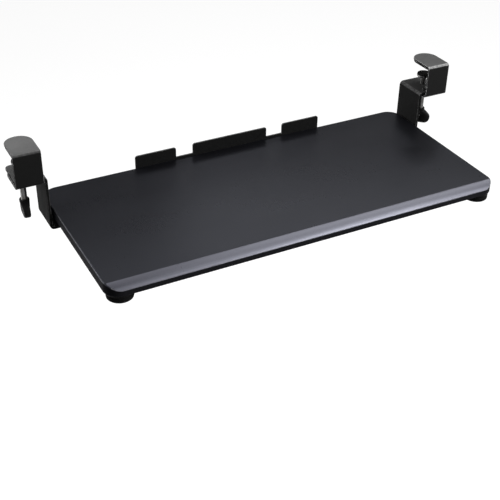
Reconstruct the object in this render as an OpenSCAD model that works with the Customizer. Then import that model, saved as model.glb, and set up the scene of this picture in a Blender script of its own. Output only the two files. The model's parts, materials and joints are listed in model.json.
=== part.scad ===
// Pull-out tray that hangs from two C-clamps and runs on rollers.
// The origin lies on the top front edge of the clamped panel, midway between the clamps.
// +X points to the sitter's right, +Y away from the sitter and +Z up. Sizes are in millimetres.

/* [Board] */
// Width of the board
tray_w = 680; // [560:1:900]
// Depth of the board, front to back
tray_d = 304; // [270:1:400]
// Thickness of the board
tray_t = 18; // [15:0.5:25]
// Corner radius of the board in plan
tray_corner_r = 24; // [16:1:60]
// Run of the front bevel, back from the front edge
bevel_run = 16; // [8:0.5:30]
// Drop of the front bevel, down from the top
bevel_drop = 9; // [4:0.5:12]
// Height of the bevel's curve over a straight cut
bevel_bulge = 1; // [0.2:0.1:2]
// How far the board reaches behind the hangers
rear_overhang = 6.5; // [4:0.5:20]

/* [Rear stop] */
// Height of the tabs above the board
stop_rise = 22; // [12:0.5:40]
// Thickness of the stop plate
stop_t = 2.5; // [1.5:0.1:4]
// Width of the middle tab
middle_tab_w = 142; // [80:1:200]
// Width of each outer tab
outer_tab_w = 74; // [40:1:100]
// Width of each gap between the tabs
notch_w = 31; // [16:1:50]
// Depth of each gap below the tab tops
notch_depth = 18; // [8:0.5:20]
// Corner radius of the tabs
tab_r = 4; // [2:0.5:6]
// How far the plate stops short of the underside of the board
stop_lift = 3; // [1:0.5:6]

/* [Clamps] */
// Width of each clamp
clamp_w = 44; // [38:1:60]
// Sheet thickness of the clamps
clamp_t = 3; // [2:0.1:5]
// Clear height between the two flanges
jaw_h = 52.5; // [42:0.5:70]
// Reach of the top flange
top_flange_l = 58; // [54:1:80]
// Reach of the lower flange
low_flange_l = 64; // [56:1:80]
// Corner radius at the far end of the flanges
flange_end_r = 21.5; // [8:0.5:22]
// Inside radius of the clamp's bends
clamp_bend_r = 2; // [1:0.5:4]
// Thickness of the rubber under the top flange
jaw_pad_t = 3.5; // [1:0.5:4]
// Border left bare round the rubber
jaw_pad_inset = 1; // [1:0.5:6]

/* [Clamp screws] */
// Thickness of the panel held in the jaws
panel_t = 24; // [16:0.5:30]
// Distance of the screws behind the clamp's web
screw_y = 39; // [34:0.5:44]
// Distance of the screws outside the clamp's middle
screw_off = 2; // [0:0.5:4]
// Diameter of the threaded rod
screw_d = 10; // [8:0.5:12]
// Length of the threaded rod below its tip
screw_l = 77; // [60:1:90]
// Diameter of the rod's smooth tip
tip_d = 7; // [4:0.5:7.5]
// Width of the nut across its flats
screw_nut_w = 17; // [15:0.5:22]
// Height of the nut
screw_nut_h = 8; // [5:0.5:10]
// Diameter of the pressure disc
disc_d = 26; // [20:1:30]
// Thickness of the pressure disc
disc_t = 5; // [4:0.5:7]
// Thickness of the rubber face on the disc
face_t = 2; // [1:0.5:3]
// Depth of the recess that holds the rod's rivet head
rivet_recess = 2.2; // [1.6:0.1:2.6]

/* [Paddles] */
// Width of the paddle
paddle_w = 38; // [24:1:42]
// Height of the paddle
paddle_h = 29; // [26:1:40]
// Thickness of the paddle
paddle_t = 11.5; // [5:0.5:14]
// Radius of the paddle's lower corners
paddle_r = 10; // [6:0.5:12]
// Diameter of the paddle's hub
hub_d = 16; // [13:0.5:18]
// Depth of the rod's socket in the hub
hub_depth = 16; // [12:0.5:20]
// Turn of the left paddle at rest, in degrees
left_paddle_turn = 95; // [-180:5:180]
// Turn of the right paddle at rest, in degrees
right_paddle_turn = -45; // [-180:5:180]

/* [Hangers] */
// Height of each hanger
hanger_h = 95; // [80:1:140]
// Length of each hanger, front to back
hanger_l = 61.5; // [58:0.5:90]
// Sheet thickness of the hangers
hanger_t = 4; // [2.5:0.1:5]
// Distance of the hanger behind the clamp's web
hanger_setback = 6; // [4:0.5:12]
// Inside radius of the hanger's bends
hanger_bend_r = 3; // [1.5:0.5:5]
// Gap between the board's side and the hanger
side_gap = 4.5; // [2:0.5:10]
// Gap between the hanger and the clamp's side
clamp_gap = 3.5; // [3:0.5:10]
// How far the hanger's lug stops short of the clamp's outer side
lug_inset = 2; // [0.5:0.5:6]
// Corner radius of the lug and the foot in plan
lug_corner_r = 8; // [2:0.5:12]
// Diameter of the bolts that join hanger and clamp
bolt_d = 5; // [4:0.5:6]
// Distance between the two bolts
bolt_spread = 24; // [18:1:28]
// Distance of the bolts behind the clamp's web
bolt_y = 16; // [13:0.5:18]

/* [Rails and rollers] */
// Diameter of the rollers
roller_d = 8.4; // [8:0.2:12]
// Width of each roller
roller_w = 5.5; // [4:0.5:8]
// Diameter of the roller axles
axle_d = 3; // [2:0.1:3.4]
// Distance between the front and the rear axle
wheelbase = 36; // [28:1:42]
// Sheet thickness of the rails
rail_t = 1.5; // [1:0.1:2]
// Distance of the rail's outer wall inside the board's side
rail_inset = 24; // [18:1:60]
// Width of the carriage block
carriage_w = 12; // [9:0.5:16]
// Length of the carriage block
carriage_l = 52; // [46:1:58]
// Length of the plug inside each end of a rail
plug_l = 5; // [3:0.5:8]
// Thickness of the plug's outer cap
plug_cap_t = 2; // [1:0.5:3]
// Screws that hold each rail
rail_screw_count = 4; // [2:1:6]

/* [Feet] */
// Diameter of the feet
foot_d = 41; // [24:1:46]
// Distance of each foot's centre inside the board's side
foot_side_inset = 24.5; // [21:0.5:60]
// Distance of each foot's centre behind the board's front
foot_front_inset = 21.2; // [21:0.1:60]
// Height of the foot's upper tier
foot_base_h = 5; // [4:0.5:12]
// Height of the foot's rubber tier
foot_pad_h = 8; // [5:0.5:12]
// Height of the groove between the tiers
foot_groove_h = 1.2; // [0.6:0.1:2]
// Depth of the groove between the tiers
foot_groove = 1.5; // [0.5:0.1:3]

/* [Fasteners] */
// Diameter of the wood screws
wood_screw_d = 4; // [3:0.5:5]
// Depth of the wood screws in the board
wood_screw_depth = 11.5; // [6:0.5:14]
// Head diameter of the wood screws
wood_head_d = 7; // [6:0.5:9]
// Head height of the wood screws
wood_head_h = 1.2; // [0.8:0.1:1.4]
// Diameter of the carriage screws
carriage_screw_d = 4; // [3:0.5:5]
// Depth of the carriage screws in their block
carriage_screw_depth = 6; // [4:0.5:8]
// Distance between the two screws of a carriage
carriage_screw_spread = 16; // [10:1:22]

/* [Fits] */
// Radial gap of the turning fits: rod in nut, tip in disc, roller on axle
running_gap = 0.05; // [0.02:0.01:0.1]
// Radial gap of parts that are pressed or glued in place
seat_gap = 0.02; // [0.01:0.01:0.05]
// Radial gap of screws and bolts in their holes
hole_gap = 0.25; // [0.1:0.05:0.5]
// Gap between a roller and the rail above and below it
roll_gap = 0.3; // [0.2:0.05:0.5]
// Gap beside each roller
roller_side_gap = 0.4; // [0.2:0.1:0.8]
// Gap between the carriage block and the lips of the rail
slot_gap = 1; // [0.6:0.1:2]
// Gap between the rail's lips and the hanger's foot
rail_gap = 1; // [0.5:0.1:2]
// Gap between carriage and plug at the ends of the travel
end_gap = 0.3; // [0.2:0.1:1]
// Gap between the feet and the front ends of the rails
foot_rail_gap = 7; // [3:0.5:20]

/* [Hidden] */
$fn = 64;
cut_over = 1;

// Places across the width
hanger_in_x = tray_w / 2 + side_gap;
hanger_out_x = hanger_in_x + hanger_t;
clamp_in_x = hanger_out_x + clamp_gap;
clamp_x = clamp_in_x + clamp_w / 2;
screw_x = clamp_x + screw_off;
lug_out_x = clamp_in_x + clamp_w - lug_inset;
flange_flat = 1;
flange_r = min(flange_end_r, (clamp_w - flange_flat) / 2);

// Levels of the clamp and the hanger
top_flange_top = jaw_pad_t + clamp_t;
low_flange_top = jaw_pad_t - jaw_h;
low_flange_bottom = low_flange_top - clamp_t;
lug_top = low_flange_top + hanger_t;
hanger_bottom = lug_top - hanger_h;
foot_plate_top = hanger_bottom + hanger_t;

// Section of the rail, built up from the rollers that run in it
axle_head_t = 0.8;
axle_head_d = axle_d + 1.8;
axle_head_gap = 0.2;
rail_wall_gap = 0.6;
rail_bend_r = rail_t + 0.6;
roller_stack = roller_side_gap + roller_w + axle_head_gap;
rail_in_w = carriage_w + 2 * (roller_stack + axle_head_t + rail_wall_gap);
rail_w = rail_in_w + 2 * rail_t;
rail_slot_w = carriage_w + 2 * slot_gap;
rail_in_h = roller_d + 2 * roll_gap;
rail_h = rail_in_h + 2 * rail_t;
rail_x = tray_w / 2 - rail_inset - rail_w / 2;
foot_plate_x = rail_x - rail_w / 2;

// Levels of the rail and the board
rail_bottom = foot_plate_top + rail_gap;
axle_z = rail_bottom + rail_h / 2;
tray_bottom = rail_bottom + rail_h;
tray_top = tray_bottom + tray_t;
rail_ceiling = tray_bottom - rail_t;
head_room = 0.5;
carriage_top = rail_ceiling - wood_head_h - head_room;

// Places along the depth
hanger_front = hanger_setback;
hanger_rear = hanger_front + hanger_l;
carriage_mid = (hanger_front + hanger_rear) / 2;
carriage_front = carriage_mid - carriage_l / 2;
carriage_rear = carriage_mid + carriage_l / 2;
tray_rear = hanger_rear + rear_overhang;
tray_front = tray_rear - tray_d;
foot_edge_gap = 0.5;
foot_in_y = max(foot_front_inset, foot_d / 2 + foot_edge_gap);
foot_reach = max(tray_corner_r - foot_d / 2 - foot_edge_gap, 0);
foot_corner = sqrt(max(foot_reach ^ 2 - max(tray_corner_r - foot_in_y, 0) ^ 2, 0));
foot_in_x = max(foot_side_inset, foot_d / 2 + foot_edge_gap, tray_corner_r - foot_corner);
foot_x = tray_w / 2 - foot_in_x;
foot_y = tray_front + foot_in_y;
rail_rear = carriage_rear + end_gap + plug_l;
rail_front = foot_y + foot_d / 2 + foot_rail_gap + plug_cap_t;
rail_l = rail_rear - rail_front;
slide_travel = rail_l - carriage_l - 2 * (plug_l + end_gap);

// Rear stop
stop_w = middle_tab_w + 2 * (notch_w + outer_tab_w);
outer_tab_x = middle_tab_w / 2 + notch_w;
stop_bottom = tray_bottom + stop_lift;
stop_top = tray_top + stop_rise;
stop_screw_x = [middle_tab_w / 4, outer_tab_x + outer_tab_w / 2];
stop_screw_z = (tray_top + tray_bottom) / 2;

// Clamp screw, from its pad down to its paddle
screw_r = screw_d / 2;
shoulder_gap = 0.1;
disc_top = -panel_t - face_t;
disc_bottom = disc_top - disc_t;
shoulder_z = disc_bottom - shoulder_gap;
tip_l = disc_t - rivet_recess + 2 * shoulder_gap;
rivet_r = tip_d / 2 + 1.3;
rivet_recess_r = rivet_r + 0.3;
rivet_h = rivet_recess - 0.6;
face_border = 0.5;
paddle_top = shoulder_z - screw_l + hub_depth;
paddle_neck = 8;
screw_hole_r = screw_r + 2 * hole_gap;

// Fasteners
bolt_r = bolt_d / 2;
bolt_head_r = 0.95 * bolt_d;
bolt_head_h = 0.55 * bolt_d;
bolt_nut_w = 1.6 * bolt_d;
bolt_nut_h = 0.8 * bolt_d;
bolt_spare = 1.5;
wood_screw_r = wood_screw_d / 2;
carriage_screw_r = carriage_screw_d / 2;
countersink_r = carriage_screw_d;
countersink_h = 2.2;
foot_recess_r = wood_head_d / 2 + 1.5;

// Values that the joints of the assembly take over
echo(slide_travel = slide_travel, screw_x = screw_x, rail_x = rail_x, axle_z = axle_z, shoulder_z = shoulder_z);

// Shared shapes

// Rectangle with round corners, from the origin
module rounded_plan(w, d, r) {
    translate([r, 0]) square([w - 2 * r, d]);
    translate([0, r]) square([w, d - 2 * r]);
    for (x = [r, w - r], y = [r, d - r]) translate([x, y]) circle(r);
}

// Quarter of a bend in the first quadrant, round the origin
module quarter_ring(r, t) {
    intersection() {
        difference() {
            circle(r + t);
            circle(r);
        }
        square(r + t);
    }
}

// Hexagon nut standing on the origin
module hex_nut(width, height, bore_r) {
    difference() {
        cylinder(d = width / cos(30), h = height, $fn = 6);
        translate([0, 0, -cut_over]) cylinder(r = bore_r, h = height + 2 * cut_over);
    }
}

// Flat-headed wood screw that points up, its head under the origin
module wood_screw(length) {
    translate([0, 0, -wood_head_h]) cylinder(d = wood_head_d, h = wood_head_h);
    cylinder(r = wood_screw_r, h = length);
}

// Hole for a wood screw, up from the origin
module wood_screw_hole(length) {
    translate([0, 0, -cut_over]) cylinder(r = wood_screw_r + seat_gap, h = length + cut_over);
}

// Left-hand copy of a right-hand piece
module at_left() {
    mirror([1, 0, 0]) children();
}

module at_both_sides() {
    children();
    at_left() children();
}

// Places that repeat

module at_rail_screws() {
    for (i = [0 : rail_screw_count - 1])
        translate([rail_x, rail_front + rail_l * (i + 0.5) / rail_screw_count, rail_ceiling]) children();
}

module at_stop_screws() {
    for (x = stop_screw_x) translate([x, tray_rear + stop_t, stop_screw_z]) rotate([90, 0, 0]) children();
}

module at_foot_screw() {
    translate([foot_x, foot_y, tray_bottom - foot_base_h]) children();
}

module at_clamp_screw(z) {
    translate([screw_x, screw_y, z]) children();
}

module at_hanger_bolts(z) {
    for (side = [-1, 1]) translate([clamp_x + side * bolt_spread / 2, bolt_y, z]) children();
}

module at_carriage_screws() {
    for (side = [-1, 1])
        translate([rail_x, carriage_mid + side * carriage_screw_spread / 2, hanger_bottom]) children();
}

module at_axle(side) {
    translate([rail_x, carriage_mid + side * wheelbase / 2, axle_z]) rotate([0, 90, 0]) children();
}

// Sliding tray

// Section of the wood that the front bevel takes away, with a convex lower side
module bevel_cut() {
    chord = norm([bevel_run, bevel_drop]);
    curve_r = (chord * chord / 4 + bevel_bulge * bevel_bulge) / (2 * bevel_bulge);
    reach = curve_r - bevel_bulge;
    slope = bevel_drop / bevel_run;
    difference() {
        polygon([
            [-cut_over, -bevel_drop - cut_over * slope],
            [bevel_run + cut_over, cut_over * slope],
            [-cut_over, cut_over * slope]
        ]);
        translate([bevel_run / 2 + reach * bevel_drop / chord, -bevel_drop / 2 - reach * bevel_run / chord])
            circle(curve_r, $fn = 256);
    }
}

module tray_board() {
    color("#1d1e22") difference() {
        translate([-tray_w / 2, tray_front, tray_bottom])
            linear_extrude(tray_t) rounded_plan(tray_w, tray_d, tray_corner_r);
        translate([-tray_w / 2 - cut_over, tray_front, tray_top])
            rotate([90, 0, 90]) linear_extrude(tray_w + 2 * cut_over) bevel_cut();
        at_both_sides() {
            at_rail_screws() wood_screw_hole(rail_t + wood_screw_depth);
            at_stop_screws() wood_screw_hole(stop_t + wood_screw_depth);
            at_foot_screw() wood_screw_hole(foot_base_h + wood_screw_depth);
        }
    }
}

// Outline of the stop in x and z: a strip with three tabs
module stop_outline() {
    tab_h = stop_top - stop_bottom;
    translate([-stop_w / 2 + tab_r, stop_bottom]) square([stop_w - 2 * tab_r, tab_h - notch_depth]);
    translate([-middle_tab_w / 2, stop_bottom]) rounded_plan(middle_tab_w, tab_h, tab_r);
    for (x = [outer_tab_x, -outer_tab_x - outer_tab_w])
        translate([x, stop_bottom]) rounded_plan(outer_tab_w, tab_h, tab_r);
}

module rear_stop() {
    color("#1b1b1d") difference() {
        translate([0, tray_rear + stop_t, 0]) rotate([90, 0, 0]) linear_extrude(stop_t) stop_outline();
        at_both_sides() at_stop_screws() wood_screw_hole(stop_t + cut_over);
    }
}

module stop_screws() {
    color("#303033") at_both_sides() at_stop_screws() wood_screw(stop_t + wood_screw_depth);
}

module rail() {
    color("#26262a") difference() {
        translate([rail_x, rail_rear, rail_bottom]) rotate([90, 0, 0]) linear_extrude(rail_l) difference() {
            translate([-rail_w / 2, 0]) rounded_plan(rail_w, rail_h, rail_bend_r);
            translate([-rail_in_w / 2, rail_t]) rounded_plan(rail_in_w, rail_in_h, rail_bend_r - rail_t);
            translate([-rail_slot_w / 2, -cut_over]) square([rail_slot_w, rail_t + 2 * cut_over]);
        }
        at_rail_screws() wood_screw_hole(rail_t + cut_over);
    }
}

module rail_screws() {
    color("#b9bbbf") at_both_sides() at_rail_screws() wood_screw(rail_t + wood_screw_depth);
}

// Plug that closes one end of a rail, its cap facing the origin side of y
module rail_plug() {
    plug_gap = 0.15;
    plug_w = rail_in_w - 2 * plug_gap;
    plug_h = rail_in_h - 2 * plug_gap;
    translate([-rail_w / 2, 0, 0]) rotate([90, 0, 0])
        linear_extrude(plug_cap_t) rounded_plan(rail_w, rail_h, rail_bend_r);
    translate([-plug_w / 2, plug_l, rail_t + plug_gap]) rotate([90, 0, 0])
        linear_extrude(plug_l) rounded_plan(plug_w, plug_h, rail_bend_r - rail_t);
}

module rail_end_stops() {
    color("#17171a") at_both_sides() {
        translate([rail_x, rail_front, rail_bottom]) rail_plug();
        translate([rail_x, rail_rear, rail_bottom]) mirror([0, 1, 0]) rail_plug();
    }
}

module foot_base() {
    color("#202024") at_foot_screw() difference() {
        union() {
            translate([0, 0, foot_groove_h]) cylinder(d = foot_d, h = foot_base_h - foot_groove_h);
            cylinder(d = foot_d - 2 * foot_groove, h = foot_base_h);
        }
        wood_screw_hole(foot_base_h + cut_over);
    }
}

module foot_pad() {
    color("#121214") at_foot_screw() translate([0, 0, -foot_pad_h]) difference() {
        union() {
            cylinder(d1 = foot_d - 2 * foot_groove, d2 = foot_d, h = foot_groove);
            translate([0, 0, foot_groove]) cylinder(d = foot_d, h = foot_pad_h - foot_groove);
        }
        translate([0, 0, -cut_over]) cylinder(r = foot_recess_r, h = foot_pad_h + 2 * cut_over);
    }
}

module foot_screws() {
    color("#b9bbbf") at_both_sides() at_foot_screw() wood_screw(foot_base_h + wood_screw_depth);
}

// Clamps and hangers, drawn on the right-hand side

// Flange of a clamp with a round far end
module clamp_flange(z, length) {
    reach = length - clamp_bend_r;
    translate([clamp_in_x, clamp_bend_r, z]) linear_extrude(clamp_t) {
        square([clamp_w, reach - flange_r]);
        rounded_plan(clamp_w, reach, flange_r);
    }
}

// Section of the clamp's web and its two bends in y and z
module clamp_web_section() {
    translate([-clamp_t, low_flange_top + clamp_bend_r]) square([clamp_t, jaw_h - 2 * clamp_bend_r]);
    translate([clamp_bend_r, jaw_pad_t - clamp_bend_r]) rotate(90) quarter_ring(clamp_bend_r, clamp_t);
    translate([clamp_bend_r, low_flange_top + clamp_bend_r]) rotate(180) quarter_ring(clamp_bend_r, clamp_t);
}

module clamp() {
    color("#2a2a2c") difference() {
        union() {
            translate([clamp_in_x, 0, 0]) rotate([90, 0, 90]) linear_extrude(clamp_w) clamp_web_section();
            clamp_flange(jaw_pad_t, top_flange_l);
            clamp_flange(low_flange_bottom, low_flange_l);
        }
        at_clamp_screw(low_flange_bottom - cut_over) cylinder(r = screw_hole_r, h = clamp_t + 2 * cut_over);
        at_hanger_bolts(low_flange_bottom - cut_over) cylinder(r = bolt_r + hole_gap, h = clamp_t + 2 * cut_over);
    }
}

module jaw_pad() {
    pad_front = clamp_bend_r + jaw_pad_inset;
    pad_w = clamp_w - 2 * jaw_pad_inset;
    pad_l = top_flange_l - jaw_pad_inset - pad_front;
    pad_r = flange_r - jaw_pad_inset;
    color("#1a1a1a") translate([clamp_in_x + jaw_pad_inset, pad_front, 0]) linear_extrude(jaw_pad_t) {
        square([pad_w, pad_l - pad_r]);
        rounded_plan(pad_w, pad_l, pad_r);
    }
}

module screw_nut() {
    color("#8f9196") at_clamp_screw(low_flange_bottom - screw_nut_h)
        hex_nut(screw_nut_w, screw_nut_h, screw_r + running_gap);
}

// Section of the hanger in x and z: lug, side plate and foot plate with two bends
module hanger_section() {
    side_bottom = foot_plate_top + hanger_bend_r;
    side_top = low_flange_top - hanger_bend_r;
    bend_in_x = hanger_in_x - hanger_bend_r;
    bend_out_x = hanger_out_x + hanger_bend_r;
    translate([bend_out_x, low_flange_top]) square([lug_out_x - bend_out_x, hanger_t]);
    translate([bend_out_x, side_top]) rotate(90) quarter_ring(hanger_bend_r, hanger_t);
    translate([hanger_in_x, side_bottom]) square([hanger_t, side_top - side_bottom]);
    translate([bend_in_x, side_bottom]) rotate(-90) quarter_ring(hanger_bend_r, hanger_t);
    translate([foot_plate_x, hanger_bottom]) square([bend_in_x - foot_plate_x, hanger_t]);
}

module hanger() {
    color("#303033") difference() {
        intersection() {
            translate([0, hanger_rear, 0]) rotate([90, 0, 0]) linear_extrude(hanger_l) hanger_section();
            translate([foot_plate_x, hanger_front, hanger_bottom]) linear_extrude(hanger_h)
                rounded_plan(lug_out_x - foot_plate_x, hanger_l, lug_corner_r);
        }
        at_clamp_screw(low_flange_top - cut_over) cylinder(r = screw_hole_r, h = hanger_t + 2 * cut_over);
        at_hanger_bolts(low_flange_top - cut_over) cylinder(r = bolt_r + hole_gap, h = hanger_t + 2 * cut_over);
        at_carriage_screws() {
            translate([0, 0, -cut_over]) cylinder(r = carriage_screw_r + hole_gap, h = hanger_t + 2 * cut_over);
            countersink(hole_gap);
        }
    }
}

// Bolts stand head up on the lug
module hanger_bolts() {
    bolt_l = hanger_t + clamp_t + bolt_nut_h + bolt_spare;
    color("#77797d") at_both_sides() at_hanger_bolts(lug_top) {
        cylinder(r = bolt_head_r, h = bolt_head_h);
        translate([0, 0, -bolt_l]) cylinder(r = bolt_r, h = bolt_l);
    }
}

module hanger_nuts() {
    color("#77797d") at_both_sides() at_hanger_bolts(low_flange_bottom - bolt_nut_h)
        hex_nut(bolt_nut_w, bolt_nut_h, bolt_r + seat_gap);
}

// Roller carriages

// Cone of a countersunk head, up from the underside of the hanger's foot
module countersink(gap) {
    cylinder(r1 = countersink_r + gap, r2 = carriage_screw_r + gap, h = countersink_h);
}

module carriage() {
    end_r = carriage_w / 4;
    color("#d8d6cf") difference() {
        translate([rail_x - carriage_w / 2, carriage_front, foot_plate_top])
            linear_extrude(carriage_top - foot_plate_top) rounded_plan(carriage_w, carriage_l, end_r);
        for (side = [-1, 1])
            at_axle(side) cylinder(d = axle_d + 2 * seat_gap, h = carriage_w + 2 * cut_over, center = true);
        at_carriage_screws() cylinder(r = carriage_screw_r + seat_gap, h = hanger_t + carriage_screw_depth);
    }
}

module carriage_screws() {
    color("#77797d") at_both_sides() at_carriage_screws() {
        countersink(0);
        cylinder(r = carriage_screw_r, h = hanger_t + carriage_screw_depth);
    }
}

module roller_axles() {
    axle_l = carriage_w + 2 * roller_stack;
    color("#b9bbbf") at_both_sides() for (side = [-1, 1]) at_axle(side) {
        cylinder(d = axle_d, h = axle_l, center = true);
        for (end = [0, 1]) mirror([0, 0, end]) translate([0, 0, axle_l / 2]) cylinder(d = axle_head_d, h = axle_head_t);
    }
}

// Roller on the front (-1) or rear (1) axle, on the inner (-1) or outer (1) side of its carriage
module roller(axle, bank) {
    edge = 0.4;
    inner_end = carriage_w / 2 + roller_side_gap;
    color("#ece9e0") at_axle(axle) mirror([0, 0, bank < 0 ? 1 : 0]) translate([0, 0, inner_end]) difference() {
        union() {
            cylinder(d1 = roller_d - 2 * edge, d2 = roller_d, h = edge);
            translate([0, 0, edge]) cylinder(d = roller_d, h = roller_w - 2 * edge);
            translate([0, 0, roller_w - edge]) cylinder(d1 = roller_d, d2 = roller_d - 2 * edge, h = edge);
        }
        translate([0, 0, -cut_over]) cylinder(d = axle_d + 2 * running_gap, h = roller_w + 2 * cut_over);
    }
}

// Clamp screws

module pressure_disc() {
    color("#8f9196") at_clamp_screw(disc_bottom) difference() {
        cylinder(d = disc_d, h = disc_t);
        translate([0, 0, -cut_over]) cylinder(r = tip_d / 2 + running_gap, h = disc_t + 2 * cut_over);
        translate([0, 0, disc_t - rivet_recess]) cylinder(r = rivet_recess_r, h = rivet_recess + cut_over);
    }
}

module disc_face() {
    color("#1a1a1a") at_clamp_screw(disc_top) cylinder(d = disc_d - 2 * face_border, h = face_t);
}

module clamp_screw() {
    color("#c4c6ca") at_clamp_screw(shoulder_z) {
        translate([0, 0, -screw_l]) cylinder(r = screw_r, h = screw_l);
        cylinder(d = tip_d, h = tip_l);
        translate([0, 0, tip_l]) cylinder(r = rivet_r, h = rivet_h);
    }
}

// Teardrop outline of the paddle, hanging from the origin
module paddle_outline() {
    hull() {
        translate([0, -paddle_neck]) circle(d = hub_d, $fn = 32);
        for (side = [-1, 1])
            translate([side * (paddle_w / 2 - paddle_r), paddle_r - paddle_h]) circle(paddle_r, $fn = 32);
    }
}

module paddle(turn) {
    color("#1b1b1d") at_clamp_screw(paddle_top) rotate(turn) difference() {
        union() {
            translate([0, 0, -hub_depth - cut_over]) cylinder(d = hub_d, h = hub_depth + cut_over);
            translate([0, paddle_t / 2, 0]) rotate([90, 0, 0]) linear_extrude(paddle_t) paddle_outline();
        }
        translate([0, 0, -hub_depth]) cylinder(r = screw_r + seat_gap, h = hub_depth + cut_over);
    }
}

tray_board();
rear_stop();
stop_screws();
at_left() rail();  // left_rail
rail();  // right_rail
rail_screws();
rail_end_stops();
at_left() foot_base();  // left_foot_base
foot_base();  // right_foot_base
at_left() foot_pad();  // left_foot_pad
foot_pad();  // right_foot_pad
foot_screws();
at_left() clamp();  // left_clamp
clamp();  // right_clamp
at_left() jaw_pad();  // left_jaw_pad
jaw_pad();  // right_jaw_pad
at_left() screw_nut();  // left_screw_nut
screw_nut();  // right_screw_nut
at_left() hanger();  // left_hanger
hanger();  // right_hanger
hanger_bolts();
hanger_nuts();
at_left() carriage();  // left_carriage
carriage();  // right_carriage
carriage_screws();
roller_axles();
at_left() roller(-1, -1);  // left_front_inner_roller
at_left() roller(-1, 1);  // left_front_outer_roller
at_left() roller(1, -1);  // left_rear_inner_roller
at_left() roller(1, 1);  // left_rear_outer_roller
roller(-1, -1);  // right_front_inner_roller
roller(-1, 1);  // right_front_outer_roller
roller(1, -1);  // right_rear_inner_roller
roller(1, 1);  // right_rear_outer_roller
at_left() pressure_disc();  // left_pressure_disc
pressure_disc();  // right_pressure_disc
at_left() disc_face();  // left_disc_face
disc_face();  // right_disc_face
at_left() clamp_screw();  // left_clamp_screw
clamp_screw();  // right_clamp_screw
at_left() paddle(left_paddle_turn);  // left_paddle
paddle(right_paddle_turn);  // right_paddle
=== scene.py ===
import json
import math

import bmesh
import bpy
from mathutils import Matrix, Vector


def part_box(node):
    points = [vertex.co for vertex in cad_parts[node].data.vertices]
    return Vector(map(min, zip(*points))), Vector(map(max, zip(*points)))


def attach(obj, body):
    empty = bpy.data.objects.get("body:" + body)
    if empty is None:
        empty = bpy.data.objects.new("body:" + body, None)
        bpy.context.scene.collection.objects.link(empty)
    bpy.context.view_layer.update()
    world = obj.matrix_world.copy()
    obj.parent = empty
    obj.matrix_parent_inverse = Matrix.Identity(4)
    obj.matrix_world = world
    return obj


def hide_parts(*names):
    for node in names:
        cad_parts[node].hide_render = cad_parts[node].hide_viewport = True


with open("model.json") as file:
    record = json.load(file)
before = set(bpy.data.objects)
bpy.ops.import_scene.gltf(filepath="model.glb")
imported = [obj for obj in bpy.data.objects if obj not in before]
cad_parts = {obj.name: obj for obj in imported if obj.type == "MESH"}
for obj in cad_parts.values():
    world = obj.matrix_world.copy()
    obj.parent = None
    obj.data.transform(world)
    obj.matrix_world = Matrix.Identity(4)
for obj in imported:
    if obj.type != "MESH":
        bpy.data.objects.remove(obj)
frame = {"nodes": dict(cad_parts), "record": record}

# Sizes are in metres, in the part's own frame: +X to the sitter's right, +Y away from the sitter, +Z up.
MM = 0.001
SOLIDS = frame["nodes"]
RECORD = frame["record"]
BODY_OF = {node: body for body, nodes in RECORD["behaviour"]["bodies"].items() for node in nodes}
SIDES = ("left", "right")
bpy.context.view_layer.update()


# Shader building blocks

def put(tree, kind, feeds=(), **settings):
    """Adds a shader node. A feed is a plain value or the output of another node."""
    made = tree.nodes.new("ShaderNode" + kind)
    for name, value in settings.items():
        setattr(made, name, value)
    for name, feed in dict(feeds).items():
        if isinstance(feed, bpy.types.NodeSocket):
            tree.links.new(feed, made.inputs[name])
        else:
            made.inputs[name].default_value = feed
    return made


def spread(tree, value, low, high, start=0.0, end=1.0):
    """Stretches a value from low..high to start..end."""
    return put(tree, "MapRange", {0: value, 1: low, 2: high, 3: start, 4: end}).outputs[0]


def reckon(tree, operation, first, second):
    """Joins two values by a named operation."""
    return put(tree, "Math", {0: first, 1: second}, operation=operation).outputs[0]


def shade_between(tree, share, first, second):
    """Colour that goes from the first shade to the second."""
    return put(tree, "Mix", {0: share, 6: first, 7: second}, data_type="RGBA").outputs[2]


def noise(tree, scale, detail, stretch=None):
    """Noise in the part's own frame, its scale counted per metre."""
    where = put(tree, "TexCoord").outputs["Object"]
    if stretch:
        where = put(tree, "Mapping", {"Vector": where, "Scale": stretch}).outputs["Vector"]
    return put(tree, "TexNoise", {"Vector": where, "Scale": scale, "Detail": detail}).outputs["Fac"]


def new_effect(name, inputs, outputs):
    """Empty shader group with named value inputs and outputs."""
    tree = bpy.data.node_groups.new(name, "ShaderNodeTree")
    for label, default in inputs.items():
        socket = tree.interface.new_socket(label, in_out="INPUT", socket_type="NodeSocketFloat")
        socket.default_value = default
    for label in outputs:
        tree.interface.new_socket(label, in_out="OUTPUT", socket_type="NodeSocketFloat")
    return tree, tree.nodes.new("NodeGroupInput").outputs, tree.nodes.new("NodeGroupOutput").inputs


def make_rim_wear_and_highlight():
    """Broken wear along the eased edges and bends, which carry the mark "rim". Where an edge or bend is
    marked to catch light, the mask is a painted highlight.
    """
    tree, given, out = new_effect("Rim wear and painted highlight", {"Patches": 260.0, "Cover": 0.5}, ["Mask"])
    wear_start, wear_full, cover_share = 0.75, 0.78, 0.5
    rim = put(tree, "Attribute", attribute_name="rim").outputs["Fac"]
    patch = noise(tree, given["Patches"], detail=5.0)
    lowered = reckon(tree, "MULTIPLY", given["Cover"], cover_share)
    worn_and_highlight = spread(tree, patch, reckon(tree, "SUBTRACT", wear_start, lowered), wear_full)
    tree.links.new(reckon(tree, "MULTIPLY", rim, worn_and_highlight), out["Mask"])
    return tree


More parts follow.
